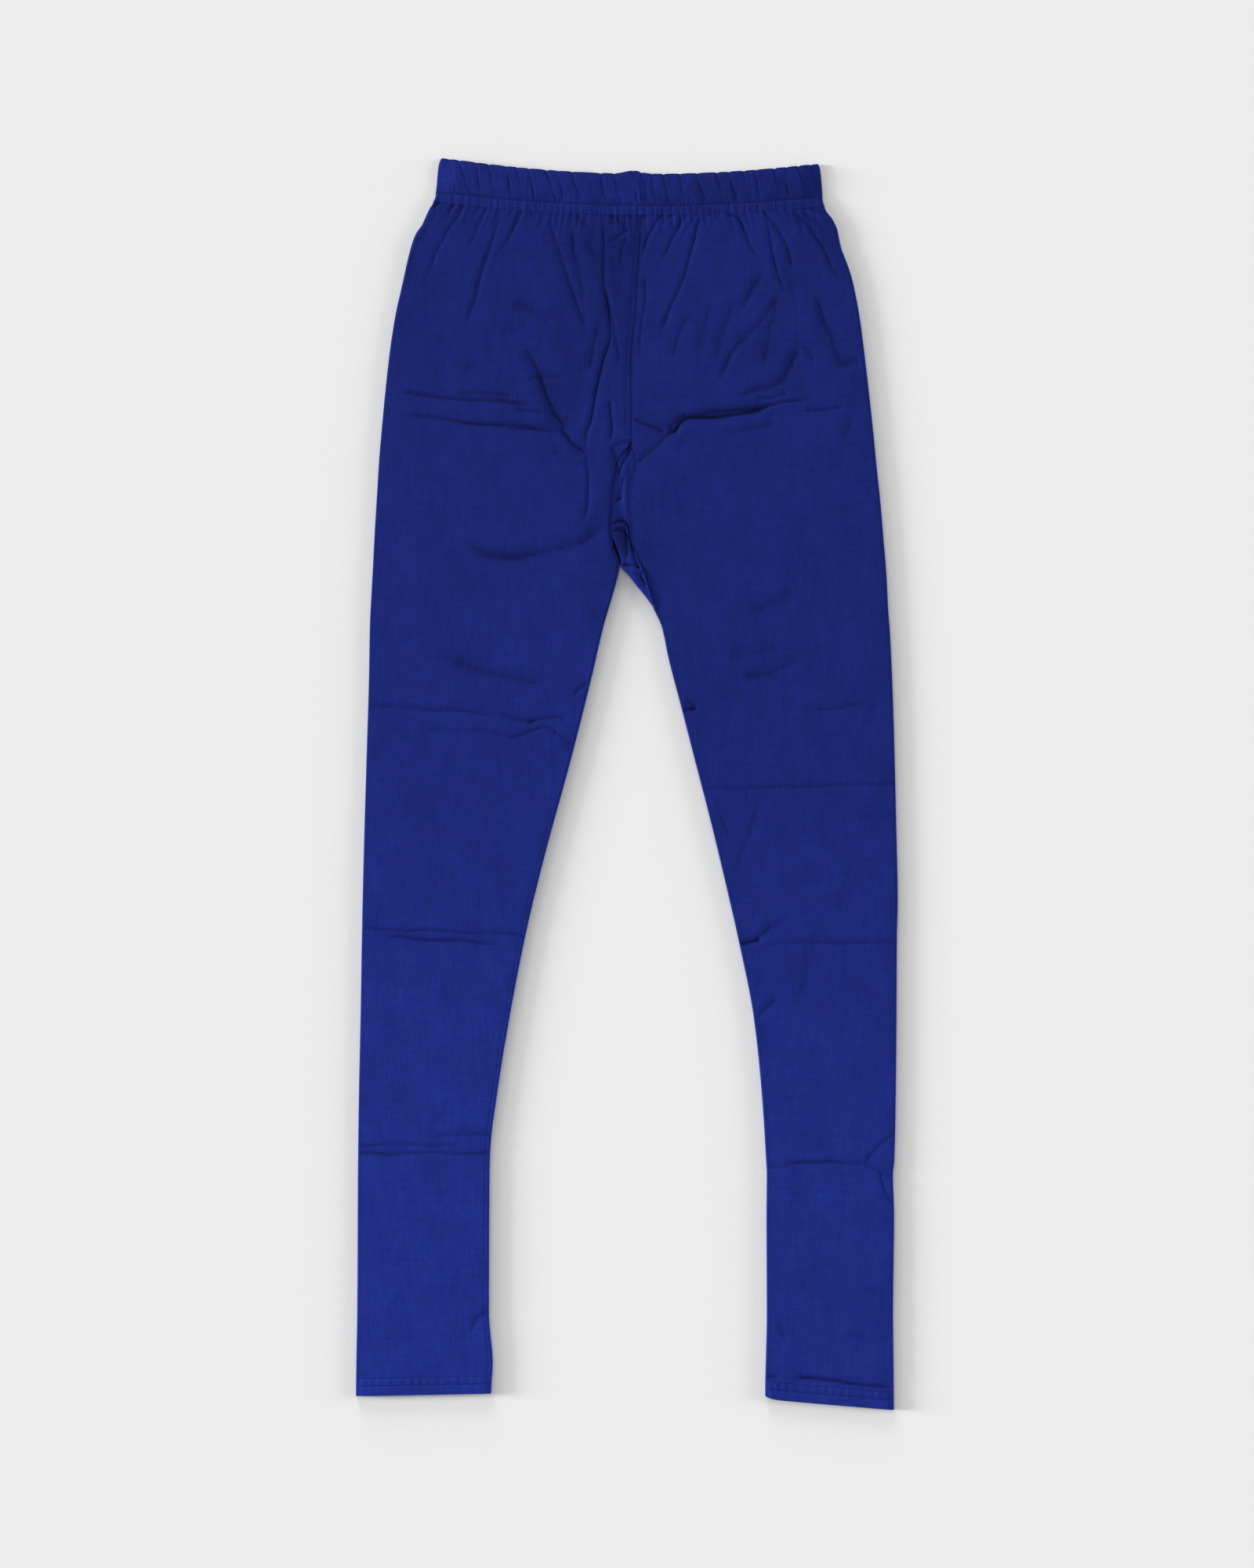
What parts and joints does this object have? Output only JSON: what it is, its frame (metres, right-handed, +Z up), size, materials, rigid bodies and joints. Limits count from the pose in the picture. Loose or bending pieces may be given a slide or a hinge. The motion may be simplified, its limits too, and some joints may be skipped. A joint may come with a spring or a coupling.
{
  "type": "leggings",
  "caption": "Jersey leggings laid flat with the front up: gathered elastic waistband, centre seams, small bunched crotch gusset, long tapered legs with stitched hems.",
  "frame": {"origin": "middle of the outline's box, on the surface that the leggings lie on", "axes": "+X to the right of someone who looks down on the front of the leggings, +Y from the hems to the waist, +Z up, out of the front"},
  "size_m": [0.4624, 1.0697, 0.0068],
  "materials": {
    "leg_jersey": "matt royal blue cotton jersey with a fine vertical rib",
    "waistband_jersey": "matt royal blue cotton jersey, doubled over elastic and gathered"
  },
  "bodies": {
    "root": {"right_leg": "leg_jersey", "left_leg": "leg_jersey", "gusset": "leg_jersey", "waistband": "waistband_jersey"}
  },
  "joints": []
}
